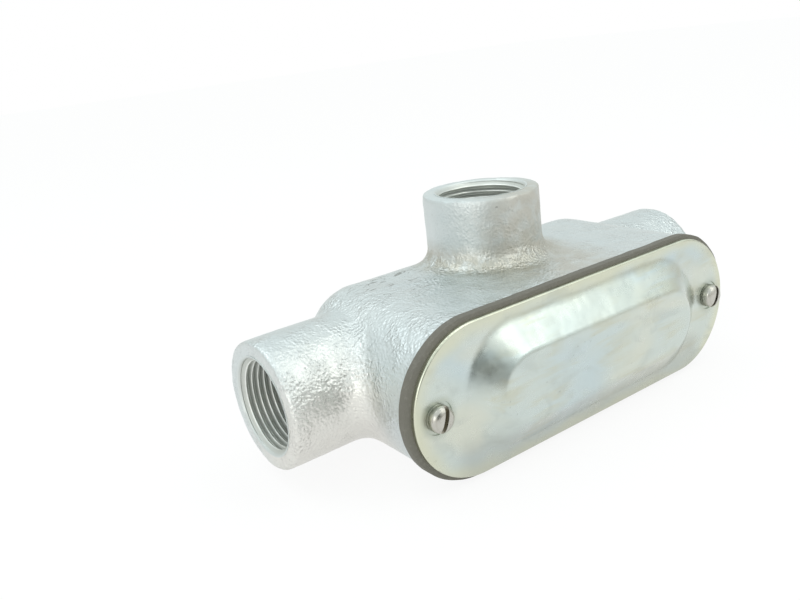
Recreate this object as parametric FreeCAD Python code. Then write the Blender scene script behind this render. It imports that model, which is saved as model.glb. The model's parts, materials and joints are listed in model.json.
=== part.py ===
import FreeCAD, Part
import os
from math import cos, hypot, radians, tan

# Conduit body of the T pattern for 3/4 inch rigid conduit, in millimetres.
# It is modelled about the crossing of its run and its branch: X along the run,
# -Y out through the cover, +Z up the branch. It is placed at the end, standing
# on its underside with the origin below the middle of its outline.

# Hubs of the casting. Each bore is the root of an internal 3/4 inch pipe thread.
bore_radius = 13.1
thread_length = 15.0
mouth_chamfer = 0.35
throat_step = 2.7               # the smooth bushing that the conduit's end butts on
throat_length = 3.0
throat_round = 1.2
run_hub_wall = 4.6
branch_hub_wall = 4.2
run_hub_reach = 18.7            # from the end of the rim out to the hub's face
branch_hub_reach = 19.8         # from the side of the rim out to the hub's face
hub_edge_round = 0.7
run_fillet = 7.0                # where a run hub grows out of the body
branch_fillet = 5.0

# Body of the casting: a box with round ends, open at the front.
wall = 3.3
rim_plane = 36.3                # from the crossing forward to the gasket's seat
rim_half_length = 61.2
rim_flat = 0.4                  # flat left at each end of the rim, nearly a half circle
side_margin = 3.5               # body's sides beyond the run hubs
back_margin = 1.3               # body's rear wall beyond the run hubs
end_slope = 4.0                 # degrees that each end wall leans in towards the rear
side_draft = 0.2                # degrees of draft on the two long walls
back_corner = 15.0              # of the rear wall's outline, before its edge is rounded
back_round = 11.0

# Gasket. It stands a little past the casting's rim.
gasket_thickness = 2.2
gasket_end_overhang = 0.9
gasket_side_overhang = 0.5
gasket_land = 4.2               # from the side of the rim in to the window
gasket_bridge = 6.7             # from a screw's axis in to the end of the window

# Cover, pressed from sheet. Its dome's sizes are where flat and slope would meet.
sheet = 1.4
cover_end_margin = 1.7          # of the gasket that shows past the cover's ends
cover_side_margin = 1.3         # and along its sides
cover_edge_round = 0.55
screw_inset = 6.9               # from the end of the cover in to a screw's axis
dome_height = 5.7
dome_end_margin = 8.0           # from a screw's axis in to the dome's foot
dome_side_margin = 3.0          # from the side of the cover in to the dome's foot
dome_end_run = 9.2              # how far the dome's end slopes lean in
dome_side_run = 8.0             # how far the dome's side slopes lean in
dome_foot_round = 5.0           # on the dome's outer face
dome_top_round = 3.0
seat_margin = 0.9               # of the coined seat round a screw's head
screw_seat_depth = 0.3

# Cover screws, number 8 with a slotted fillister head, and their bosses in the casting.
screw_radius = 2.08
screw_length = 12.7
screw_point = 0.8
head_radius = 3.45
head_height = 3.4
head_round = 1.9
slot_width = 1.2
slot_depth = 1.7
slot_lean = 20.0                # degrees that the slots stand off the vertical
boss_wall = 2.47
boss_floor = 2.0
tap_runout = 3.6                # of the tapped hole beyond the screw's tip

# Clearances.
thread_clearance = 0.05         # on the radius, between a screw and its tapped hole
hole_clearance = 0.35           # on the radius, round a screw in cover and gasket
seat_clearance = 0.02           # between a moving piece and the face it bears on

# Sizes that follow across the pieces.
run_hub_radius = bore_radius + run_hub_wall
branch_hub_radius = bore_radius + branch_hub_wall
throat_radius = bore_radius - throat_step
rim_half_width = run_hub_radius + side_margin
back_plane = run_hub_radius + back_margin
run_hub_face = rim_half_length + run_hub_reach
branch_hub_face = rim_half_width + branch_hub_reach
gasket_half_length = rim_half_length + gasket_end_overhang
gasket_half_width = rim_half_width + gasket_side_overhang
cover_half_length = gasket_half_length - cover_end_margin
cover_half_width = gasket_half_width - cover_side_margin
screw_x = cover_half_length - screw_inset

# Planes, as distances forward of the crossing.
gasket_face = rim_plane + gasket_thickness
cover_back = gasket_face + seat_clearance
cover_face = cover_back + sheet
dome_face = cover_face + dome_height
screw_seat = cover_face - screw_seat_depth
screw_bearing = screw_seat + seat_clearance
screw_tip = screw_bearing - screw_length
tap_end = screw_tip - tap_runout
boss_end = tap_end - boss_floor

OVERCUT = 1.0                   # how far a cutting tool runs past an open face
CLOSE = 1e-3                    # two places this near are the same place
X = FreeCAD.Vector(1, 0, 0)
Y = FreeCAD.Vector(0, 1, 0)
Z = FreeCAD.Vector(0, 0, 1)
LEFT_AND_RIGHT = (-1, 1)


def obround(forward, half_length, half_width):
    """Outline with semicircular ends, across the Y axis at a distance forward."""
    y = -forward
    middle = half_length - half_width
    top_left = FreeCAD.Vector(-middle, y, half_width)
    top_right = FreeCAD.Vector(middle, y, half_width)
    right = FreeCAD.Vector(half_length, y, 0)
    bottom_right = FreeCAD.Vector(middle, y, -half_width)
    bottom_left = FreeCAD.Vector(-middle, y, -half_width)
    left = FreeCAD.Vector(-half_length, y, 0)
    edges = [
        Part.LineSegment(top_left, top_right).toShape(),
        Part.Arc(top_right, right, bottom_right).toShape(),
        Part.LineSegment(bottom_right, bottom_left).toShape(),
        Part.Arc(bottom_left, left, top_left).toShape(),
    ]
    return Part.Wire(edges)


def obround_plate(front, back, half_length, half_width):
    """Plate with an obround outline, between two distances forward."""
    face = Part.Face(obround(front, half_length, half_width))
    return face.extrude(Y * (front - back))


def obround_taper(front, front_size, back, back_size):
    """Obround solid whose outline changes evenly from one distance to another."""
    outlines = [obround(front, *front_size), obround(back, *back_size)]
    return Part.makeLoft(outlines, True, True)


def round_post(x, front, back, radius):
    """Cylinder along Y on the run's centre plane, between two distances forward."""
    return Part.makeCylinder(radius, front - back, FreeCAD.Vector(x, -front, 0), Y)


def outline_edges(shape, forward, half_length, half_width):
    """Edges of a shape at one distance forward that lie within an obround's box."""
    found = []
    for edge in shape.Edges:
        box = edge.BoundBox
        level = abs(box.YMin + forward) < CLOSE and abs(box.YMax + forward) < CLOSE
        across = max(box.XMax, -box.XMin) < half_length + CLOSE
        high = max(box.ZMax, -box.ZMin) < half_width + CLOSE
        if level and across and high:
            found.append(edge)
    return found


def circles_at(shape, centre, radius):
    """Circular edges of a shape with a given centre and radius."""
    circles = [edge for edge in shape.Edges if isinstance(edge.Curve, Part.Circle)]
    return [
        edge
        for edge in circles
        if edge.Curve.Center.distanceToPoint(centre) < CLOSE
        and abs(edge.Curve.Radius - radius) < CLOSE
    ]


def junction_edges(shape, axis, radius, face):
    """Edges where a hub of the given radius grows out of the body, short of its face."""
    found = []
    for edge in shape.Edges:
        points = edge.discretize(9)
        along = [point.dot(axis) for point in points]
        off_axis = [(point - axis * reach).Length for point, reach in zip(points, along)]
        on_hub = all(abs(distance - radius) < CLOSE for distance in off_axis)
        if on_hub and min(along) > 0 and max(along) < face - CLOSE:
            found.append(edge)
    return found


def blunt_outline(forward, half_length, half_width, corner):
    """Outline across the Y axis with round corners and a flat left at each end."""
    y = -forward
    swing = corner * (1 - cos(radians(45)))
    turns = []
    for right, up in ((1, 1), (1, -1), (-1, -1), (-1, 1)):
        x = right * half_length
        z = up * half_width
        on_side = FreeCAD.Vector(x - right * corner, y, z)
        between = FreeCAD.Vector(x - right * swing, y, z - up * swing)
        on_end = FreeCAD.Vector(x, y, z - up * corner)
        turn = (on_side, between, on_end) if right == up else (on_end, between, on_side)
        turns.append(turn)
    edges = []
    for index, turn in enumerate(turns):
        edges.append(Part.LineSegment(turns[index - 1][-1], turn[0]).toShape())
        edges.append(Part.Arc(*turn).toShape())
    return Part.Wire(edges)


def body_form(inset):
    """Form of the body's outside, or of its cavity where inset by the wall."""
    back = back_plane - inset
    depth = rim_plane + back
    half_length = rim_half_length - inset
    half_width = rim_half_width - inset
    back_size = (
        half_length - depth * tan(radians(end_slope)),
        half_width - depth * tan(radians(side_draft)),
    )
    outlines = [
        blunt_outline(rim_plane, half_length, half_width, half_width - rim_flat / 2),
        blunt_outline(-back, *back_size, back_corner - inset),
    ]
    form = Part.makeLoft(outlines, True, True)
    return form.makeFillet(back_round - inset, outline_edges(form, -back, *back_size))


def hub_void(axis, face, hub_radius):
    """Thread root, bushing throat and cast passage of one hub, about its axis."""
    across = Y
    stop = face - thread_length
    inner = stop - throat_length
    mouth_radius = bore_radius + mouth_chamfer
    passage_radius = hub_radius - wall
    swing = throat_round * (1 - cos(radians(45)))

    def at(along, radius):
        return axis * along + across * radius

    path = [
        Part.LineSegment(at(0, 0), at(face + OVERCUT, 0)),
        Part.LineSegment(at(face + OVERCUT, 0), at(face + OVERCUT, mouth_radius)),
        Part.LineSegment(at(face + OVERCUT, mouth_radius), at(face, mouth_radius)),
        Part.LineSegment(at(face, mouth_radius), at(face - mouth_chamfer, bore_radius)),
        Part.LineSegment(at(face - mouth_chamfer, bore_radius), at(stop, bore_radius)),
        Part.LineSegment(at(stop, bore_radius), at(stop, throat_radius + throat_round)),
        Part.Arc(
            at(stop, throat_radius + throat_round),
            at(stop - swing, throat_radius + swing),
            at(stop - throat_round, throat_radius),
        ),
        Part.LineSegment(
            at(stop - throat_round, throat_radius),
            at(inner + throat_round, throat_radius),
        ),
        Part.Arc(
            at(inner + throat_round, throat_radius),
            at(inner + swing, throat_radius + swing),
            at(inner, throat_radius + throat_round),
        ),
        Part.LineSegment(at(inner, throat_radius + throat_round), at(inner, passage_radius)),
        Part.LineSegment(at(inner, passage_radius), at(0, passage_radius)),
        Part.LineSegment(at(0, passage_radius), at(0, 0)),
    ]
    profile = Part.Face(Part.Wire([curve.toShape() for curve in path]))
    return profile.revolve(FreeCAD.Vector(), axis, 360)


def screw_boss(side):
    """Boss for one cover screw behind the rim, with a web that runs out into the end wall."""
    radius = screw_radius + thread_clearance + boss_wall
    post = round_post(side * screw_x, rim_plane, boss_end, radius)
    web_start = FreeCAD.Vector(min(side * screw_x, side * rim_half_length), -rim_plane, -radius)
    web = Part.makeBox(rim_half_length - screw_x, rim_plane - boss_end, 2 * radius, web_start)
    return post.fuse(web)


def make_body_casting():
    """One casting: body, two run hubs, branch hub and screw bosses."""
    hubs = [
        (X, run_hub_face, run_hub_radius, run_fillet),
        (-X, run_hub_face, run_hub_radius, run_fillet),
        (Z, branch_hub_face, branch_hub_radius, branch_fillet),
    ]
    stubs = [
        Part.makeCylinder(radius, face, FreeCAD.Vector(), axis)
        for axis, face, radius, fillet in hubs
    ]
    outside = body_form(0).multiFuse(stubs).removeSplitter()
    for axis, face, radius, fillet in hubs:
        outside = outside.makeFillet(fillet, junction_edges(outside, axis, radius, face))
        outside = outside.makeFillet(hub_edge_round, circles_at(outside, axis * face, radius))
    chamber = body_form(wall).cut([screw_boss(side) for side in LEFT_AND_RIGHT])
    hub_voids = [hub_void(axis, face, radius) for axis, face, radius, fillet in hubs]
    tapped_radius = screw_radius + thread_clearance
    tapped_holes = [
        round_post(side * screw_x, rim_plane, tap_end, tapped_radius)
        for side in LEFT_AND_RIGHT
    ]
    return outside.cut([chamber] + hub_voids + tapped_holes).removeSplitter()


def screw_holes(front, back):
    """Clearance holes for both cover screws, between two distances forward."""
    radius = screw_radius + hole_clearance
    return [round_post(side * screw_x, front, back, radius) for side in LEFT_AND_RIGHT]


def make_gasket():
    """Flat gasket with a window and two screw holes."""
    plate = obround_plate(gasket_face, rim_plane, gasket_half_length, gasket_half_width)
    window_size = (screw_x - gasket_bridge, rim_half_width - gasket_land)
    window = obround_plate(gasket_face, rim_plane, *window_size)
    return plate.cut([window] + screw_holes(gasket_face, rim_plane))


def domed_plate(face, back, plate_size, inset):
    """Plate with the cover's dome on it, or the form inside it where inset by the sheet."""
    foot_size = []
    top_size = []
    spans = [
        (screw_x - dome_end_margin, dome_end_run),
        (cover_half_width - dome_side_margin, dome_side_run),
    ]
    for foot, run in spans:
        slope = run / dome_height
        thinning = inset * (hypot(1, slope) - slope)
        foot_size.append(foot - thinning)
        top_size.append(foot - run - thinning)
    top_face = dome_face - inset
    dome = obround_taper(face, foot_size, top_face, top_size)
    form = obround_plate(face, back, *plate_size).fuse(dome).removeSplitter()
    form = form.makeFillet(dome_foot_round + inset, outline_edges(form, face, *foot_size))
    return form.makeFillet(dome_top_round - inset, outline_edges(form, top_face, *top_size))


def make_cover():
    """Cover pressed from one sheet, with a long dome and a coined seat under each screw."""
    size = (cover_half_length, cover_half_width)
    outside = domed_plate(cover_face, cover_back, size, 0)
    outside = outside.makeFillet(
        cover_edge_round,
        [
            edge
            for edge in outline_edges(outside, cover_face, *size)
            if max(edge.BoundBox.ZMax, -edge.BoundBox.ZMin) > cover_half_width - CLOSE
        ],
    )
    inside = domed_plate(cover_back, cover_back - OVERCUT, size, sheet)
    seats = [
        round_post(side * screw_x, cover_face + OVERCUT, screw_seat, head_radius + seat_margin)
        for side in LEFT_AND_RIGHT
    ]
    return outside.cut([inside] + seats + screw_holes(cover_face, cover_back))


def make_cover_screw(side):
    """Machine screw with a slotted fillister head, seated on the cover."""
    x = side * screw_x
    top = screw_bearing + head_height
    head = round_post(x, top, screw_bearing, head_radius)
    head = head.makeFillet(head_round, circles_at(head, FreeCAD.Vector(x, -top, 0), head_radius))
    shank = round_post(x, screw_bearing, screw_tip, screw_radius)
    tip = FreeCAD.Vector(x, -screw_tip, 0)
    shank = shank.makeChamfer(screw_point, circles_at(shank, tip, screw_radius))
    corner = FreeCAD.Vector(x - slot_width / 2, -top, -head_radius)
    slot = Part.makeBox(slot_width, slot_depth, 2 * head_radius, corner)
    slot.rotate(FreeCAD.Vector(x, 0, 0), Y, slot_lean)
    return head.fuse(shank).cut(slot).removeSplitter()


def place_and_export(pieces):
    """Stand the assembly on its underside and write one file for each piece."""
    outline_middle = (back_plane - dome_face) / 2
    stand = FreeCAD.Vector(0, -outline_middle, gasket_half_width)
    os.makedirs("parts", exist_ok=True)
    for name, shape in pieces.items():
        shape.translate(stand)
        shape.exportStep(f"parts/{name}.step")
        size = shape.BoundBox
        print(name, len(shape.Solids), shape.isValid(), round(shape.Volume), size)


place_and_export(
    {
        "body_casting": make_body_casting(),
        "gasket": make_gasket(),
        "cover": make_cover(),
        "cover_screw_left": make_cover_screw(-1),
        "cover_screw_right": make_cover_screw(1),
    }
)
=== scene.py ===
import json
from collections import namedtuple
from math import cos, hypot, pi, radians, sin

import bmesh
import bpy
from mathutils import Matrix, Vector, noise


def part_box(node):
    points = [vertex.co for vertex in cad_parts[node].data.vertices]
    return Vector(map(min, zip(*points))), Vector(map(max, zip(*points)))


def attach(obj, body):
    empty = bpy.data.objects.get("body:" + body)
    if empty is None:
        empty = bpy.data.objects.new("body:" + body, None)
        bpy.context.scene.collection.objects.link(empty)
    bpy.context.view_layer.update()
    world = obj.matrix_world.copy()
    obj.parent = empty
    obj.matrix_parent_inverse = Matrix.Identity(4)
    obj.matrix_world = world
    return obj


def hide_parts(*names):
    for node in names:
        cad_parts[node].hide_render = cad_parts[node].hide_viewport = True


# Conduit body of the T pattern, dressed over its CAD frame. Shapes are in metres, and the
# materials lay out their patterns in millimetres. X runs along the run, -Y out through the
# cover and +Z up the branch.
MM = 0.001
MM_PER_INCH = 25.4
SIDES = (-1, 1)                 # left and right

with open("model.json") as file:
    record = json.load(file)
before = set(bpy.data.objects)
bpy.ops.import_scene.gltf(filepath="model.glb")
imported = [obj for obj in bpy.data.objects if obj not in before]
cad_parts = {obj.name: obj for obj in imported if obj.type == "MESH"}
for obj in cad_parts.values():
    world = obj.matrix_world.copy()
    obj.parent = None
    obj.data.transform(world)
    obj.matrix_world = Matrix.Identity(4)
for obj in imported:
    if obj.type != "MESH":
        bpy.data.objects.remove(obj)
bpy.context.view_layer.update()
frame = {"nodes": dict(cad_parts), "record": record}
scene = bpy.context.scene

# Where the CAD has things. The run and the branch cross at `crossing`.
mounts = {m["name"]: m for m in frame["record"]["mounts"]}
branch = mounts["branch_hub"]
crossing = Vector((branch["pos_m"][0], branch["pos_m"][1], mounts["run_hub_left"]["pos_m"][2]))
bore = branch["dims"]["r_mm"] * MM
casting_low, casting_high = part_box("body_casting")
rim = casting_low.y
screw_low, screw_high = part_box("cover_screw_right")
screw_x = (screw_low.x + screw_high.x) / 2

# Sizes that the frame doesn't give, as the part's source has them.
RUN_HUB_RADIUS = 17.7 * MM
BRANCH_HUB_RADIUS = 17.3 * MM
HUB_EDGE_ROUND = 0.7 * MM
THREAD_LENGTH = 15.0 * MM
THROAT = bore - 2.7 * MM
THROAT_ROUND = 1.2 * MM
SCREW_RADIUS = 2.08 * MM
SCREW_LENGTH = 12.7 * MM
SCREW_POINT = 0.8 * MM
SLOT_WIDTH = 1.2 * MM
SLOT_DEPTH = 1.7 * MM
SLOT_LEAN = 20.0                # degrees

SLEEVE = bore + 0.4 * MM        # radius at which a ring of thread lines its hub
MERGE = 1e-6                    # points nearer than this are one point


# ---------------------------------------------------------------- mesh helpers

def linked(obj):
    scene.collection.objects.link(obj)
    return obj


def mesh_object(name, vertices, faces):
    mesh = bpy.data.meshes.new(name)
    mesh.from_pydata([tuple(v) for v in vertices], [], [tuple(f) for f in faces])
    mesh.validate()
    return linked(bpy.data.objects.new(name, mesh))


def evaluated_mesh(obj):
    graph = bpy.context.evaluated_depsgraph_get()
    return bpy.data.meshes.new_from_object(obj.evaluated_get(graph))


def apply_modifiers(obj):
    mesh = evaluated_mesh(obj)
    obj.modifiers.clear()
    obj.data = mesh


def turn_outward(mesh, merge=None):
    """Turns all faces outward, once points nearer than `merge` are one."""
    bm = bmesh.new()
    bm.from_mesh(mesh)
    if merge:
        bmesh.ops.remove_doubles(bm, verts=bm.verts, dist=merge)
    bmesh.ops.recalc_face_normals(bm, faces=bm.faces)
    bm.to_mesh(mesh)
    bm.free()


def joined(name, solids):
    """One object from solids that are each a list of points and a list of faces."""
    vertices, faces = [], []
    for some_vertices, some_faces in solids:
        start = len(vertices)
        vertices += list(some_vertices)
        faces += [tuple(i + start for i in f) for f in some_faces]
    obj = mesh_object(name, vertices, faces)
    turn_outward(obj.data)
    return obj


def cut_away(obj, *tools):
    """Takes each tool's shape off the object, and removes the tools."""
    for tool in tools:
        cut = obj.modifiers.new("cut", "BOOLEAN")
        cut.object = tool
        cut.operation = "DIFFERENCE"
        cut.solver = "MANIFOLD"
    apply_modifiers(obj)
    for tool in tools:
        bpy.data.objects.remove(tool)


def shade(obj, sharp_degrees):
    obj.data.shade_smooth()
    obj.data.set_sharp_from_angle(angle=radians(sharp_degrees))


def axis_frame(axis, origin):
    """Matrix that takes +Z to an axis, and the origin to a point on it."""
    return Matrix.Translation(origin) @ Vector(axis).to_track_quat("Z", "Y").to_matrix().to_4x4()


def lathe(profile, place, segments):
    """Closed solid of revolution from (radius, height) points; end points are on the axis.

    A radius may be a function of the angle."""
    vertices = [place @ Vector((0, 0, profile[0][1])), place @ Vector((0, 0, profile[-1][1]))]
    rings = profile[1:-1]
    for radius, height in rings:
        for k in range(segments):
            a = 2 * pi * k / segments
            r = radius(a) if callable(radius) else radius
            vertices.append(place @ Vector((r * cos(a), r * sin(a), height)))

    def at(ring, k):
        return 2 + ring * segments + k % segments

    last = len(rings) - 1
    faces = []
    for k in range(segments):
        faces.append((0, at(0, k), at(0, k + 1)))
        for ring in range(last):
            faces.append((at(ring, k), at(ring + 1, k), at(ring + 1, k + 1), at(ring, k + 1)))
        faces.append((1, at(last, k + 1), at(last, k)))
    return vertices, faces


def arc(centre, radius, start, end, steps):
    """Points (radius, height) on an arc, angles in degrees from the radial direction."""
    angles = [radians(start + (end - start) * k / steps) for k in range(steps + 1)]
    return [(centre[0] + radius * cos(a), centre[1] + radius * sin(a)) for a in angles]


def plug(place, radius, top, bottom, segments):
    """Closed cylinder from one height to another."""
    return lathe([(0, top), (radius, top), (radius, bottom), (0, bottom)], place, segments)


def block(low, high):
    corners = [(x, y, z)
               for x in (low[0], high[0]) for y in (low[1], high[1]) for z in (low[2], high[2])]
    return corners, [(0, 1, 3, 2), (4, 6, 7, 5), (0, 4, 5, 1),
                     (2, 3, 7, 6), (0, 2, 6, 4), (1, 5, 7, 3)]


# ---------------------------------------------------------------- the casting

Hub = namedtuple("Hub", "name axis face radius")
HUBS = []
for hub_name in ("run_hub_left", "run_hub_right", "branch_hub"):
    axis = Vector(mounts[hub_name]["axis"])
    if axis.z > 0.5:
        reach, radius = casting_high.z - crossing.z, BRANCH_HUB_RADIUS
    else:
        reach, radius = casting_high.x - crossing.x, RUN_HUB_RADIUS
    HUBS.append(Hub(hub_name, axis, crossing + axis * reach, radius))

# The raw casting, as the sand leaves it. Its holes are plugged and its rim is long.
RIM_STOCK = 2 * MM
HUB_PLUG_RADIUS = bore + 1.5 * MM
HUB_PLUG_ENDS = (-0.2 * MM, -19.5 * MM)
SCREW_PLUG_RADIUS = 3.2 * MM
SCREW_PLUG_ENDS = (1.8 * MM, -16 * MM)
VOXEL = 0.76 * MM
SAND_LUMPS = ((5.0 * MM, 0.16 * MM), (1.9 * MM, 0.14 * MM))     # across, and how deep

# The tools that then machine it.
TOOL_START = 3 * MM             # outside the face that a tool cuts
EDGE_INSET = 0.04 * MM          # of a hub's turned edge, inside its full radius
HUB_DEPTH = 25 * MM
FACING_HALF_WIDTH = 90 * MM
FACING_DEPTH = 10 * MM
DRILL_RADIUS = SCREW_RADIUS + 0.05 * MM
DRILL_DEPTH = 13.0 * MM
DRILL_POINT = 14 * MM


def hub_frame(hub):
    return axis_frame(hub.axis, hub.face)


def hole_frame(side):
    """Frame of a cover screw's hole, from the rim outward."""
    return axis_frame((0, -1, 0), Vector((side * screw_x, rim, crossing.z)))


def solid_with_long_rim():
    raw = bmesh.new()
    raw.from_mesh(frame["nodes"]["body_casting"].data)
    bmesh.ops.remove_doubles(raw, verts=raw.verts, dist=MERGE)
    for v in raw.verts:
        if abs(v.co.y - rim) < 10 * MERGE:
            v.co.y -= RIM_STOCK
    raw.verts.index_update()
    vertices = [v.co.copy() for v in raw.verts]
    faces = [tuple(v.index for v in f.verts) for f in raw.faces]
    raw.free()
    return vertices, faces


def hub_tool(hub):
    """What a lathe takes off a raw hub: its face, its edge, its bore and its throat."""
    edge = hub.radius - EDGE_INSET - HUB_EDGE_ROUND
    past = hub.radius + TOOL_START
    profile = [(0, TOOL_START), (past, TOOL_START), (past, -HUB_EDGE_ROUND)]
    profile += arc((edge, -HUB_EDGE_ROUND), HUB_EDGE_ROUND, 0, 90, 8)
    profile += [(SLEEVE, 0), (SLEEVE, -THREAD_LENGTH)]
    profile += arc((THROAT + THROAT_ROUND, -THREAD_LENGTH - THROAT_ROUND), THROAT_ROUND, 90, 180, 6)
    profile += [(THROAT, -HUB_DEPTH), (0, -HUB_DEPTH)]
    return lathe(profile, hub_frame(hub), 128)


def drill(side):
    profile = [(0, TOOL_START), (DRILL_RADIUS, TOOL_START),
               (DRILL_RADIUS, -DRILL_DEPTH), (0, -DRILL_POINT)]
    return lathe(profile, hole_frame(side), 48)


def make_casting():
    """Rough casting from the CAD's solid, then faced, bored and drilled."""
    solids = [solid_with_long_rim()]
    solids += [plug(hub_frame(hub), HUB_PLUG_RADIUS, *HUB_PLUG_ENDS, 64) for hub in HUBS]
    solids += [plug(hole_frame(side), SCREW_PLUG_RADIUS, *SCREW_PLUG_ENDS, 32) for side in SIDES]
    casting = joined("casting", solids)
    remesh = casting.modifiers.new("remesh", "REMESH")
    remesh.mode = "VOXEL"
    remesh.voxel_size = VOXEL
    smooth = casting.modifiers.new("smooth", "SMOOTH")
    smooth.factor, smooth.iterations = 0.5, 5
    for across, deep in SAND_LUMPS:
        texture = bpy.data.textures.new("lumps", "CLOUDS")
        texture.noise_scale = across
        texture.noise_depth = 1
        lumps = casting.modifiers.new("lumps", "DISPLACE")
        lumps.texture = texture
        lumps.texture_coords = "LOCAL"
        lumps.mid_level = 1.0
        lumps.strength = deep
    apply_modifiers(casting)

    far = FACING_HALF_WIDTH
    facing = block((-far, rim - FACING_DEPTH, -far), (far, rim, far))
    turned = joined("turning", [hub_tool(hub) for hub in HUBS] + [facing])
    drilled = joined("drilling", [drill(side) for side in SIDES])
    cut_away(casting, turned, drilled)
    shade(casting, 35)
    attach(casting, "casting")
    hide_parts("body_casting")
    return casting


# ---------------------------------------------------------------- the hubs' threads

PITCH = MM_PER_INCH / 14 * MM
THREAD_DEPTH = 1.2 * MM
THREAD_START = 0.04 * MM        # inside the hub's face
THREAD_FADE = 1.5               # turns over which it runs out at the bottom
SLEEVE_WALL = 0.25 * MM         # of the ring, sunk in the hub
THREAD_COLUMNS = 120
# Phases of one turn and how far the thread stands in there, as a share of its depth.
THREAD_FORM = [(0.0, 0.0), (0.06, 0.02), (0.12, 0.12), (0.41, 0.88), (0.46, 0.98), (0.5, 1.0),
               (0.54, 0.98), (0.59, 0.88), (0.88, 0.12), (0.94, 0.02)]


def thread_line(lag):
    """Points (depth, radius) down a tapped bore, where its thread lags by `lag` turns."""
    line = [(THREAD_START, SLEEVE + SLEEVE_WALL), (THREAD_START, SLEEVE)]
    for turn in range(-1, int(THREAD_LENGTH / PITCH) + 2):
        for phase, height in THREAD_FORM:
            depth = min(max((turn + phase + lag) * PITCH, THREAD_START), THREAD_LENGTH)
            fade = min(1, (THREAD_LENGTH - depth) / (THREAD_FADE * PITCH))
            ridge = bore - THREAD_DEPTH * height * fade
            chamfer = SLEEVE - (depth - THREAD_START)
            line.append((depth, max(ridge, chamfer)))
    line.append((THREAD_LENGTH, SLEEVE + SLEEVE_WALL))
    return line


def make_thread(hub):
    """Inner skin of a tapped bore, on a ring that is sunk in the hub's wall."""
    place = hub_frame(hub)
    lines = [thread_line(k / THREAD_COLUMNS) for k in range(THREAD_COLUMNS)]
    count = len(lines[0])
    vertices = []
    for k, line in enumerate(lines):
        a = 2 * pi * k / THREAD_COLUMNS
        vertices += [place @ Vector((r * cos(a), -r * sin(a), -depth)) for depth, r in line]

    def beside(k, j):
        """Point on the next line beside point j of line k, a turn further on at the seam."""
        if k < THREAD_COLUMNS - 1:
            return (k + 1) * count + j
        if j < 2 or j == count - 1:
            return j
        return min(j + len(THREAD_FORM), count - 2)

    faces = []
    for k in range(THREAD_COLUMNS):
        first, last = k * count, k * count + count - 1
        for j in range(count - 1):
            faces.append((first + j, first + j + 1, beside(k, j + 1), beside(k, j)))
        faces.append((last, first, beside(k, 0), beside(k, count - 1)))
    name = hub.name.replace("hub", "thread")
    thread = mesh_object(name, vertices, [f for f in faces if len(set(f)) == 4])

    bm = bmesh.new()
    bm.from_mesh(thread.data)
    bmesh.ops.remove_doubles(bm, verts=bm.verts, dist=MERGE)
    bmesh.ops.dissolve_degenerate(bm, edges=bm.edges, dist=MERGE / 10)
    bmesh.ops.recalc_face_normals(bm, faces=bm.faces)
    # Its material reads how near a point is to a crest, and how far down the bore.
    crest = bm.verts.layers.float.new("crest")
    depth = bm.verts.layers.float.new("depth")
    back = place.inverted()
    for v in bm.verts:
        local = back @ v.co
        v[crest] = (bore - hypot(local.x, local.y)) / THREAD_DEPTH
        v[depth] = -local.z / THREAD_LENGTH
    bm.to_mesh(thread.data)
    bm.free()
    shade(thread, 50)
    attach(thread, "casting")
    return thread


# ---------------------------------------------------------------- the gasket

GASKET_EDGE_ROUND = 0.12 * MM
ROUGH_CUT = (11 * MM, 0.30 * MM)        # how long a wander of its edge is, and how deep
FINE_CUT = (2.5 * MM, 0.05 * MM)
SHIFT_LEFT_END, SHIFT_RIGHT_END = 0.4 * MM, 0.3 * MM
BOTTOM_TRIM = 0.55 * MM
WINDOW_HALF_LENGTH, WINDOW_HALF_WIDTH = 47 * MM, 17.1 * MM
GASKET_HOLE = 2.4 * MM


def obround(half_length, half_width, count, wander):
    """Points round an obround, each moved along its normal by wander(x, z)."""
    straight = half_length - half_width
    bend = pi * half_width
    around = 4 * straight + 2 * bend
    points = []
    for k in range(count):
        s = around * k / count
        if s < 2 * straight:
            point, normal = (-straight + s, -half_width), (0, -1)
        elif s < 2 * straight + bend:
            a = (s - 2 * straight) / half_width - pi / 2
            point, normal = (straight + half_width * cos(a), half_width * sin(a)), (cos(a), sin(a))
        elif s < 4 * straight + bend:
            point, normal = (straight - (s - 2 * straight - bend), half_width), (0, 1)
        else:
            a = (s - 4 * straight - bend) / half_width + pi / 2
            point, normal = (-straight + half_width * cos(a), half_width * sin(a)), (cos(a), sin(a))
        out = wander(*point)
        points.append((point[0] + normal[0] * out, point[1] + normal[1] * out))
    return points


def fine_cut(x, z):
    length, deep = FINE_CUT
    return deep * noise.noise(Vector((x, z, 1)) / length) - deep


def hand_cut(x, z):
    length, deep = ROUGH_CUT
    return -deep * abs(noise.noise(Vector((x, z, 0)) / length)) + fine_cut(x, z)


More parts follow.
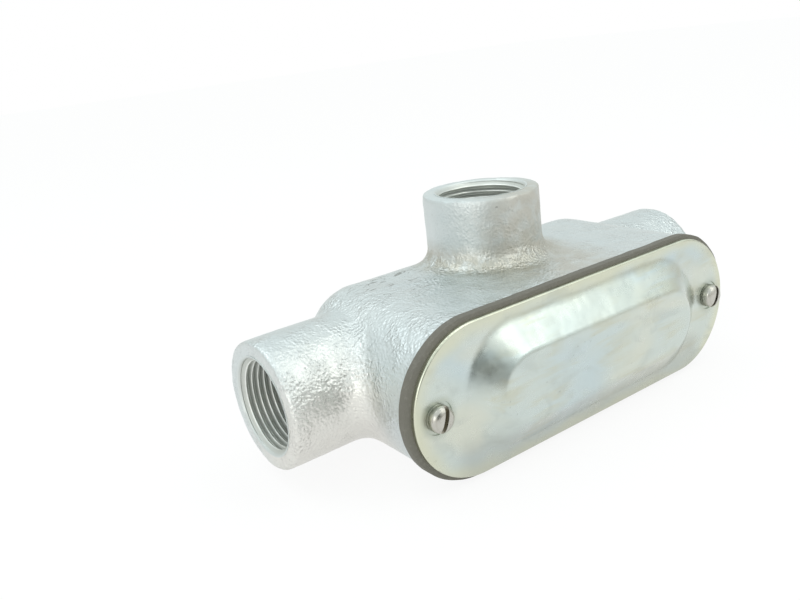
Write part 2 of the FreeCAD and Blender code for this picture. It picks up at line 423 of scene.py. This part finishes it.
def make_gasket():
    """Rubber sheet cut by hand: its edge wanders, and it sits a little up and to the left."""
    low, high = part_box("gasket")
    half_length, half_width = (high.x - low.x) / 2, (high.z - low.z) / 2
    outer = []
    for x, z in obround(half_length, half_width, 520, hand_cut):
        leftward, downward = (1 - x / half_length) / 2, (1 - z / half_width) / 2
        rightward = (1 + x / half_length) / 2
        outer.append((x - SHIFT_LEFT_END * leftward - SHIFT_RIGHT_END * rightward,
                      z + BOTTOM_TRIM * downward))
    window = obround(WINDOW_HALF_LENGTH, WINDOW_HALF_WIDTH, 300, fine_cut)
    turn = [2 * pi * k / 40 for k in range(40)]
    holes = [[(side * screw_x + GASKET_HOLE * cos(a), GASKET_HOLE * sin(a)) for a in turn]
             for side in SIDES]

    curve = bpy.data.curves.new("gasket_outline", "CURVE")
    curve.dimensions, curve.fill_mode = "2D", "BOTH"
    curve.extrude = (high.y - low.y) / 2 - GASKET_EDGE_ROUND
    curve.bevel_depth, curve.bevel_resolution = GASKET_EDGE_ROUND, 1
    curve.offset = -GASKET_EDGE_ROUND
    for loop in [outer, window] + holes:
        spline = curve.splines.new("POLY")
        spline.points.add(len(loop) - 1)
        for point, (x, z) in zip(spline.points, loop):
            point.co = (x, z, 0, 1)
        spline.use_cyclic_u = True
    drawn = linked(bpy.data.objects.new("gasket_outline", curve))
    mesh = evaluated_mesh(drawn)
    bpy.data.objects.remove(drawn)
    middle = Matrix.Translation((0, (low.y + high.y) / 2, (low.z + high.z) / 2))
    mesh.transform(middle @ Matrix.Rotation(pi / 2, 4, "X"))
    turn_outward(mesh, merge=MERGE)
    gasket = linked(bpy.data.objects.new("rubber_gasket", mesh))
    shade(gasket, 30)
    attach(gasket, "casting")
    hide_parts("gasket")
    return gasket


# ---------------------------------------------------------------- the cover screws

SCREW_PITCH = MM_PER_INCH / 32 * MM
SCREW_THREAD_DEPTH = 0.47 * MM
STEPS_PER_TURN = 9
HEAD_SHOULDER = 1.5 * MM        # straight side of the head, below its crown
HEAD_UNDER = 0.15 * MM          # round under the head
CROWN_STEPS = 24
CROWN_SIDE, CROWN_TOP = 0.8, 0.9        # powers that fill the crown out from an ellipse
SLOT_HALF_LENGTH = 6 * MM


def shank(t):
    """Radius round the shank at height t above its point, as a function of the angle."""
    def radius(a):
        phase = (t / SCREW_PITCH - a / (2 * pi)) % 1.0
        ridge = min(1.0, max(0.0, 1.35 * (1 - abs(2 * phase - 1)) - 0.12))
        full = SCREW_RADIUS - SCREW_THREAD_DEPTH * (1 - ridge)
        return min(full, SCREW_RADIUS - SCREW_POINT + t)
    return radius


def make_screw(name, side):
    """Machine screw with 32 turns to the inch and a crowned, slotted fillister head."""
    low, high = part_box(name)
    middle = (low.z + high.z) / 2
    head_radius = (high.z - low.z) / 2
    height = high.y - low.y - SCREW_LENGTH
    crown = height - HEAD_SHOULDER
    place = axis_frame((0, -1, 0), Vector((side * screw_x, high.y, middle)))

    steps = int(SCREW_LENGTH / SCREW_PITCH * STEPS_PER_TURN)
    profile = [(0, 0)]
    profile += [(shank(t), t) for t in (SCREW_LENGTH * k / steps for k in range(steps + 1))]
    # A hair above the shank's last ring, so that the two stay apart.
    profile += [(head_radius - HEAD_UNDER, SCREW_LENGTH + MERGE),
                (head_radius, SCREW_LENGTH + HEAD_UNDER)]
    for k in range(CROWN_STEPS):
        a = pi / 2 * k / CROWN_STEPS
        profile.append((head_radius * cos(a) ** CROWN_SIDE,
                        SCREW_LENGTH + HEAD_SHOULDER + crown * sin(a) ** CROWN_TOP))
    profile.append((0, SCREW_LENGTH + height))
    screw = joined(name.replace("cover_", ""), [lathe(profile, place, 72)])

    top = SCREW_LENGTH + height
    slot = joined("slot", [block((-SLOT_WIDTH / 2, -SLOT_HALF_LENGTH, top - SLOT_DEPTH),
                                 (SLOT_WIDTH / 2, SLOT_HALF_LENGTH, top + MM))])
    at = Matrix.Translation((side * screw_x, 0, middle))
    slot.data.transform(at @ Matrix.Rotation(radians(SLOT_LEAN), 4, "Y") @ at.inverted() @ place)
    cut_away(screw, slot)
    shade(screw, 40)
    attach(screw, "left_screw" if side < 0 else "right_screw")
    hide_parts(name)
    return screw


gasket = make_gasket()
screws = {side: make_screw(name, side)
          for side, name in zip(SIDES, ("cover_screw_left", "cover_screw_right"))}
casting = make_casting()
threads = [make_thread(hub) for hub in HUBS]


# ---------------------------------------------------------------- materials

def node(tree, kind, inputs=None, **settings):
    """Adds a shader node; an input is another node's socket or a plain value."""
    made = tree.nodes.new("ShaderNode" + kind)
    for key, value in settings.items():
        setattr(made, key, value)
    for key, value in (inputs or {}).items():
        if isinstance(value, bpy.types.NodeSocket):
            tree.links.new(value, made.inputs[key])
        else:
            made.inputs[key].default_value = value
    return made


class Finish:
    """A material whose patterns are laid out in millimetres on the piece itself."""

    def __init__(self, name, metallic):
        self.material = bpy.data.materials.new(name)
        self.material.use_nodes = True
        self.tree = self.material.node_tree
        self.bsdf = self.tree.nodes["Principled BSDF"]
        self.bsdf.inputs["Metallic"].default_value = metallic
        where = self.add("TexCoord").outputs["Object"]
        self.mm = self.add("VectorMath", {0: where, "Scale": 1 / MM}, operation="SCALE").outputs[0]

    def add(self, kind, inputs=None, **settings):
        return node(self.tree, kind, inputs, **settings)

    def math(self, operation, a, b=0.0):
        return self.add("Math", {0: a, 1: b}, operation=operation).outputs[0]

    def plus(self, a, b):
        return self.math("ADD", a, b)

    def minus(self, a, b):
        return self.math("SUBTRACT", a, b)

    def times(self, a, b):
        return self.math("MULTIPLY", a, b)

    def most(self, a, b):
        return self.math("MAXIMUM", a, b)

    def axes(self):
        """The place along X, Y and Z."""
        return self.add("SeparateXYZ", {0: self.mm}).outputs

    def noise(self, size, detail=2.0, rough=0.5, stretch=(1, 1, 1), distortion=0.0):
        """Noise whose lumps are about `size` millimetres across."""
        scale = tuple(k / size for k in stretch)
        at = self.add("VectorMath", {0: self.mm, 1: scale}, operation="MULTIPLY").outputs[0]
        return self.add("TexNoise", {"Vector": at, "Scale": 1.0, "Detail": detail,
                                     "Roughness": rough, "Distortion": distortion}).outputs["Fac"]

    def spots(self, size, smooth=0.6):
        """Distance to the nearest of many points, about `size` millimetres apart."""
        at = self.add("VectorMath", {0: self.mm, "Scale": 1.0 / size}, operation="SCALE").outputs[0]
        return self.add("TexVoronoi", {"Vector": at, "Scale": 1.0, "Smoothness": smooth},
                        feature="SMOOTH_F1").outputs["Distance"]

    def ramp(self, value, low, high, start=0.0, end=1.0):
        """Smooth step from `start` where the value is `low` to `end` where it is `high`."""
        return self.add("MapRange", {"Value": value, "From Min": low, "From Max": high,
                                     "To Min": start, "To Max": end},
                        interpolation_type="SMOOTHSTEP").outputs[0]

    def blend(self, factor, a, b):
        return self.add("Mix", {0: factor, 6: a, 7: b}, data_type="RGBA").outputs[2]

    def away(self, point, spans=(1, 1, 1)):
        """Distance in millimetres from a point, or from a line where a span is 0."""
        off = self.add("VectorMath", {0: self.mm, 1: tuple(point)}, operation="SUBTRACT").outputs[0]
        flat = self.add("VectorMath", {0: off, 1: tuple(spans)}, operation="MULTIPLY").outputs[0]
        return self.add("VectorMath", {0: flat}, operation="LENGTH").outputs["Value"]

    def bump(self, height, distance, strength=1.0, under=None):
        inputs = {"Height": height, "Distance": distance * MM, "Strength": strength}
        if under:
            inputs["Normal"] = under
        return self.add("Bump", inputs).outputs[0]

    def finish(self, colour, roughness, normal):
        for key, value in (("Base Color", colour), ("Roughness", roughness), ("Normal", normal)):
            self.tree.links.new(value, self.bsdf.inputs[key])
        return self.material


def zinc_casting():
    """Malleable iron with a bright zinc coat over the skin left by the sand."""
    f = Finish("zinc_casting", 1.0)
    x, y, z = (p / MM for p in crossing)
    left, right, top = casting_low.x / MM, casting_high.x / MM, casting_high.z / MM
    body_top = top - 20
    across, _, up = f.axes()

    # The hubs' faces are machined, and the rest is raw.
    faced_run = f.ramp(f.math("ABSOLUTE", across), right - 0.10, right - 0.03)
    faced_top = f.ramp(up, top - 0.10, top - 0.03)
    faced = f.most(faced_run, faced_top)
    raw = f.minus(1.0, faced)

    # Sand grain in patches, weaker on the branch, with a pit here and there.
    patchy = f.ramp(f.ramp(f.noise(9.0, 2.0), 0.42, 0.62), 0.0, 1.0, 0.5, 1.0)
    off_the_branch = f.ramp(f.minus(up, top), -18.0, -13.0, 1.0, 0.4)
    grain = f.plus(f.times(f.spots(0.85), 0.8), f.times(f.noise(0.6, 2.0), 0.7))
    skin = f.times(f.times(grain, off_the_branch), f.times(raw, patchy))
    tool_marks = f.times(f.noise(0.5, 3.0), f.times(faced, 0.12))
    pits = f.ramp(f.spots(6.0, 0.0), 0.07, 0.02)
    height = f.minus(f.plus(skin, tool_marks), f.times(pits, 0.5))

    # Cool zinc, with a warm reflection painted on the front of the branch and a highlight painted
    # near the left end.
    colour = f.blend(f.noise(14.0, 3.0), (0.64, 0.70, 0.71, 1), (0.68, 0.71, 0.70, 1))
    # Painted reflection: a warm beige patch on the front of the branch.
    warm = f.ramp(f.away((x + 4, y - 17, top - 13), (1, 0.6, 0.8)), 24.0, 9.0)
    warm = f.times(warm, f.ramp(f.noise(4.0, 3.0), 0.3, 0.6, 0.5, 1.0))
    colour = f.blend(warm, colour, (0.57, 0.56, 0.51, 1))
    # Painted highlight: lighter colour on the left end wall beside the hub.
    end_highlight = f.ramp(f.away((left + 14, y - 8, z - 6), (0.8, 1, 1)), 26.0, 12.0)
    colour = f.blend(end_highlight, colour, (0.76, 0.75, 0.71, 1))

    # Painted shade in a band round the branch's foot, where it meets the body.
    above_body = f.minus(up, body_top)
    foot = f.times(f.ramp(above_body, 9.0, 1.0), f.ramp(above_body, -3.5, -0.5))
    foot = f.times(foot, f.ramp(f.away((x, y, 0), (1, 1, 0)), 26.0, 18.0))
    foot = f.times(foot, f.ramp(f.noise(2.5, 4.0, 0.65), 0.35, 0.6, 0.4, 1.0))
    colour = f.blend(foot, colour, (0.50, 0.49, 0.43, 1))

    # Dull flecks, a scuffed place on the body's top, and dirt in the pits.
    flecks = f.ramp(f.noise(3.0, 4.0, 0.65), 0.62, 0.74, 0, 0.35)
    colour = f.blend(flecks, colour, (0.42, 0.43, 0.40, 1))
    scuffed = f.ramp(f.away((x - 34, y + 1, body_top)), 20.0, 8.0)
    scratches = f.ramp(f.noise(1.6, 3.0, 0.6, (0.35, 1, 1), 1.2), 0.58, 0.64)
    colour = f.blend(f.times(f.times(scuffed, scratches), 0.75), colour, (0.22, 0.23, 0.21, 1))
    colour = f.blend(f.times(pits, 0.4), colour, (0.30, 0.30, 0.28, 1))

    rough = f.plus(f.ramp(f.noise(5.0, 3.0), 0.3, 0.7, 0.31, 0.43), f.times(faced, 0.02))
    rough = f.plus(rough, f.times(f.minus(1.0, off_the_branch), 0.25))
    return f.finish(colour, rough, f.bump(height, 0.42))


def thread_zinc():
    """The same zinc in the tapped bores: painted highlight on crests, painted shade in dull roots.
    """
    f = Finish("thread_zinc", 1.0)
    crest = f.add("Attribute", attribute_name="crest").outputs["Fac"]
    depth = f.add("Attribute", attribute_name="depth").outputs["Fac"]
    # Crests worn smoother, and painted brighter as a highlight.
    crest_wear_and_highlight = f.times(f.ramp(crest, 0.62, 1.0), f.ramp(f.noise(2.0), 0.25, 0.6, 0.6, 1.0))
    # Roots painted darker than the casting's zinc, as shade.
    roots = f.blend(f.noise(6.0, 3.0), (0.56, 0.58, 0.55, 1), (0.64, 0.66, 0.62, 1))
    colour = f.blend(crest_wear_and_highlight, roots, (0.88, 0.90, 0.86, 1))
    mouth = f.ramp(depth, 0.07, 0.0)
    colour = f.blend(mouth, colour, (0.68, 0.72, 0.71, 1))
    rough = f.ramp(crest_wear_and_highlight, 0.0, 1.0, 0.48, 0.30)
    return f.finish(colour, rough, f.bump(f.noise(0.45, 2.0), 0.03, 0.6))


def zinc_sheet():
    """Pressed steel in bright zinc, whose passivation leaves straw, blue and green tints."""
    f = Finish("zinc_sheet", 1.0)
    low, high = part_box("cover")
    half = (high.z - low.z) / 2 / MM
    straight = high.x / MM - half
    middle = (high.z + low.z) / 2 / MM
    across, _, up = f.axes()

    # How far a place lies in from the cover's edge; `past` is how far along its round end.
    past = f.most(f.minus(f.math("ABSOLUTE", across), straight), 0.0)
    off = f.add("CombineXYZ", {0: past, 2: f.minus(up, middle)}).outputs[0]
    inside = f.minus(half, f.add("VectorMath", {0: off}, operation="LENGTH").outputs["Value"])
    wander = f.times(f.minus(f.noise(14.0, 1.0), 0.5), 6.0)
    at_edge = f.ramp(f.plus(inside, wander), 4.6, 0.0)

    # Blue to green, with clouds of straw and a straw edge.
    tint = f.ramp(f.noise(22.0, 1.5, 0.5, (0.6, 1, 1), 0.4), 0.38, 0.62)
    colour = f.blend(tint, (0.56, 0.645, 0.655, 1), (0.61, 0.665, 0.62, 1))
    straw = f.ramp(f.noise(14.0, 1.0, 0.5, (0.5, 1, 1), 0.6), 0.48, 0.75, 0.0, 0.5)
    colour = f.blend(straw, colour, (0.70, 0.69, 0.57, 1))
    colour = f.blend(f.times(at_edge, 0.75), colour, (0.68, 0.68, 0.52, 1))

    # Painted shadow, with some dirt, in the seats round the screws.
    rings = [f.away((side * screw_x / MM, 0, middle), (1, 0, 1)) for side in SIDES]
    seats = f.most(*(f.times(f.ramp(ring, 6.2, 4.0), 0.45) for ring in rings))
    colour = f.blend(seats, colour, (0.36, 0.40, 0.33, 1))

    # Brown streaks, painted shade on the lower slope, grey clouds and dark specks.
    streaks = f.ramp(f.noise(3.6, 3.0, 0.55, (0.16, 1, 1), 0.5), 0.44, 0.66)
    streaks = f.times(streaks, f.ramp(f.noise(16.0), 0.40, 0.60))
    colour = f.blend(f.times(streaks, 0.5), colour, (0.56, 0.55, 0.42, 1))
    # Painted shade: `under` darkens the cover's lower slope.
    over_middle = f.plus(f.minus(up, middle), f.times(f.noise(6.0, 3.0), 5.0))
    under = f.times(f.ramp(over_middle, -5.0, -11.0, 0.0, 0.42), f.ramp(past, 12.0, 4.0))
    colour = f.blend(under, colour, (0.40, 0.41, 0.37, 1))
    greyed = f.ramp(f.noise(7.0, 3.0, 0.55, (0.6, 1, 1), 0.8), 0.52, 0.70, 0.0, 0.30)
    colour = f.blend(greyed, colour, (0.44, 0.48, 0.45, 1))
    specks = f.times(f.ramp(f.noise(1.0, 2.0, 0.5), 0.66, 0.76), f.ramp(f.noise(8.0), 0.48, 0.66))
    colour = f.blend(f.times(specks, 0.35), colour, (0.25, 0.26, 0.23, 1))

    # Shallow dents, under the fine grain of rolling.
    rough = f.ramp(f.noise(5.0, 4.0, 0.6), 0.3, 0.7, 0.25, 0.36)
    rolled = f.times(f.noise(0.5, 2.0, 0.5, (0.25, 1, 1)), 0.35)
    dents = f.bump(f.noise(10.0, 2.0), 0.5, 0.6)
    normal = f.bump(f.plus(rolled, f.noise(1.6, 2.0)), 0.03, 0.5, dents)
    return f.finish(colour, rough, normal)


def rubber():
    """Dark grey gasket rubber with pale dust on it."""
    f = Finish("gasket_rubber", 0.0)
    cloud = f.noise(7.0, 4.0, 0.6)
    dust = f.times(f.ramp(f.noise(1.1, 4.0, 0.7), 0.5, 0.75), 0.5)
    colour = f.blend(cloud, (0.115, 0.110, 0.092, 1), (0.170, 0.160, 0.132, 1))
    colour = f.blend(dust, colour, (0.22, 0.21, 0.18, 1))
    rough = f.ramp(cloud, 0.3, 0.7, 0.55, 0.75)
    return f.finish(colour, rough, f.bump(f.plus(f.noise(0.6, 3.0), f.noise(4.0)), 0.08, 0.6))


def screw_metal(side):
    """Plated steel, turned on the head, with painted shade down in the slot."""
    f = Finish("screw_metal", 1.0)
    low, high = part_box("cover_screw_left")
    head_radius = (high.z - low.z) / 2 / MM
    from_axis = f.away((side * screw_x / MM, 0, crossing.z / MM), (1, 0, 1))
    # Painted shade: `slot` darkens the screw's slot below the head's top.
    sunk = f.minus(f.axes()["Y"], low.y / MM)
    within = f.ramp(from_axis, head_radius - 0.5, head_radius - 0.9)
    slot = f.times(f.ramp(sunk, 0.35, 0.8), within)
    turned = f.math("SINE", f.times(from_axis, 14.0))
    colour = f.blend(f.noise(2.5, 3.0), (0.50, 0.485, 0.44, 1), (0.60, 0.585, 0.54, 1))
    tarnish = f.ramp(f.noise(0.8, 3.0), 0.6, 0.72, 0, 0.5)
    colour = f.blend(tarnish, colour, (0.36, 0.34, 0.29, 1))
    colour = f.blend(slot, colour, (0.42, 0.40, 0.34, 1))
    rough = f.ramp(f.noise(1.5, 3.0), 0.3, 0.7, 0.24, 0.38)
    height = f.plus(f.times(turned, 0.2), f.noise(0.7, 3.0))
    return f.finish(colour, rough, f.bump(height, 0.03, 0.6))


def dress(obj, finish):
    """Gives a piece its one material. A CAD node's own slots take it."""
    if obj.material_slots:
        for slot in obj.material_slots:
            slot.material = finish
    else:
        obj.data.materials.append(finish)


dress(casting, zinc_casting())
thread_finish = thread_zinc()
for thread in threads:
    dress(thread, thread_finish)
dress(frame["nodes"]["cover"], zinc_sheet())
dress(gasket, rubber())
for side, screw in screws.items():
    dress(screw, screw_metal(side))


# ---------------------------------------------------------------- lamps

def softbox(name, direction, distance, size, brightness, colour):
    """Round lamp of a given brightness, turned to the object."""
    lamp = bpy.data.lights.new(name, "AREA")
    lamp.shape, lamp.size, lamp.color = "DISK", size, colour
    lamp.energy = brightness * pi * pi * (size / 2) ** 2
    obj = linked(bpy.data.objects.new(name, lamp))
    towards = Vector(direction).normalized()
    obj.location = crossing + towards * distance
    obj.rotation_euler = towards.to_track_quat("Z", "Y").to_euler()


#       name         direction             distance size brightness colour
softbox("key",      (0.40, -0.66, 0.62),   0.7,     0.46, 1.02,     (1.0, 0.99, 0.94))
softbox("rim",      (0.30, -0.21, 0.93),   0.6,     0.2,  2.2,      (1.0, 0.98, 0.92))
softbox("side",     (-0.85, -0.45, 0.30),  0.7,     0.4,  1.5,      (1.0, 0.99, 0.96))
softbox("overhead", (-0.3, 0.3, 1),        0.8,     0.5,  1.1,      (0.95, 0.98, 1.0))


# ---------------------------------------------------------------- floor, flag and backdrop

FLOOR_HALF = 3
FLOOR_DROP = 0.02 * MM
FLOOR_TO_CAMERA, FLOOR_IN_METAL = 0.88, 0.7     # share of plain white over the lit floor
FLAG_HALF = 0.06
FLAG_PLACE = (-0.068, -0.14, 0.052)
FLAG_FULL, FLAG_GONE = 0.018, 0.058             # from the flag's middle
WHITE = (1, 1, 1, 1)


def new_tree(datablock):
    datablock.use_nodes = True
    return datablock.node_tree


def over_backdrop(tree, lit, to_camera, in_metal):
    """Lays plain white over what is lit, in one share for the camera, another in reflections."""
    path = node(tree, "LightPath").outputs
    seen = node(tree, "Math", {0: path["Is Camera Ray"], 1: to_camera}, operation="MULTIPLY")
    mirrored = node(tree, "Math", {0: path["Is Glossy Ray"], 1: path["Is Transmission Ray"]},
                    operation="MAXIMUM")
    mirrored = node(tree, "Math", {0: mirrored.outputs[0], 1: in_metal}, operation="MULTIPLY")
    factor = node(tree, "Math", {0: seen.outputs[0], 1: mirrored.outputs[0]}, operation="MAXIMUM")
    white = node(tree, "Emission", {"Color": WHITE, "Strength": 1.0})
    return node(tree, "MixShader", {0: factor.outputs[0], 1: lit, 2: white.outputs[0]}).outputs[0]


def make_floor():
    h = FLOOR_HALF
    floor = mesh_object("floor", [(-h, -h, 0), (h, -h, 0), (h, h, 0), (-h, h, 0)], [(0, 1, 2, 3)])
    floor.location.z = -FLOOR_DROP
    pale = bpy.data.materials.new("pale_floor")
    tree = new_tree(pale)
    paper = tree.nodes["Principled BSDF"]
    paper.inputs["Base Color"].default_value = (0.94, 0.94, 0.93, 1)
    paper.inputs["Roughness"].default_value = 0.9
    paper.inputs["Specular IOR Level"].default_value = 0.0
    shown = over_backdrop(tree, paper.outputs[0], FLOOR_TO_CAMERA, FLOOR_IN_METAL)
    tree.links.new(shown, tree.nodes["Material Output"].inputs[0])
    floor.data.materials.append(pale)


def make_flag():
    """A dull panel in front, soft at its edges and seen only in the metal's reflections."""
    h = FLAG_HALF
    flag = mesh_object("flag", [(-h, 0, -h), (h, 0, -h), (h, 0, h), (-h, 0, h)], [(0, 1, 2, 3)])
    flag.location = FLAG_PLACE
    flag.visible_camera = flag.visible_diffuse = flag.visible_shadow = False
    finish = bpy.data.materials.new("flag")
    tree = new_tree(finish)
    where = node(tree, "TexCoord").outputs["Object"]
    reach = node(tree, "VectorMath", {0: where}, operation="LENGTH").outputs["Value"]
    density = node(tree, "MapRange", {"Value": reach, "From Min": FLAG_FULL, "From Max": FLAG_GONE,
                                      "To Min": 0.9, "To Max": 0.0},
                   interpolation_type="SMOOTHSTEP").outputs[0]
    dark = node(tree, "Emission", {"Color": (0.8, 0.9, 0.8, 1), "Strength": 0.12}).outputs[0]
    clear = node(tree, "BsdfTransparent").outputs[0]
    mixed = node(tree, "MixShader", {0: density, 1: clear, 2: dark}).outputs[0]
    tree.links.new(mixed, tree.nodes["Material Output"].inputs[0])
    flag.data.materials.append(finish)


def make_world():
    """Pale studio walls, warm below and cool above, that the camera sees as plain white."""
    world = bpy.data.worlds.new("studio")
    scene.world = world
    tree = new_tree(world)
    up = node(tree, "SeparateXYZ", {0: node(tree, "TexCoord").outputs["Generated"]}).outputs["Z"]
    sky = node(tree, "ValToRGB", {0: up})
    stops = sky.color_ramp.elements
    stops[0].position, stops[0].color = 0.0, (0.74, 0.73, 0.68, 1)
    stops[1].position, stops[1].color = 0.75, (0.93, 1.0, 1.0, 1)
    for position, colour in ((0.12, (0.80, 0.80, 0.76, 1)), (0.35, (0.92, 0.98, 0.98, 1))):
        stops.new(position).color = colour
    soft = tree.nodes["Background"]
    tree.links.new(sky.outputs[0], soft.inputs["Color"])
    soft.inputs["Strength"].default_value = 1.0
    path = node(tree, "LightPath").outputs
    white = node(tree, "Background", {"Color": WHITE, "Strength": 1.0}).outputs[0]
    shown = node(tree, "MixShader", {0: path["Is Camera Ray"], 1: soft.outputs[0], 2: white})
    tree.links.new(shown.outputs[0], tree.nodes["World Output"].inputs[0])


make_floor()
make_flag()
make_world()


# ---------------------------------------------------------------- camera

SENSOR_WIDTH = 36
LENS = 36.05
# The camera looks along +Z of its own frame, X to the right and Y down. This turns the
# part's axes into that frame, as an axis times its angle in radians, and the crossing
# lies at this place in it, in millimetres.
VIEW_TURN = Vector((1.78015, -0.66944, 0.32654))
CROSSING_SEEN = Vector((28.194, 5.598, 248.614))

camera = linked(bpy.data.objects.new("camera", bpy.data.cameras.new("camera")))
scene.camera = camera
camera.data.sensor_width = SENSOR_WIDTH
camera.data.lens = LENS
camera.data.clip_start, camera.data.clip_end = 0.01, 20
back = Matrix.Rotation(VIEW_TURN.length, 3, VIEW_TURN).transposed()
camera.location = crossing - (back @ CROSSING_SEEN) * MM
camera.rotation_euler = (back @ Matrix.Diagonal((1, -1, -1))).to_euler()

scene.view_settings.view_transform = "Standard"
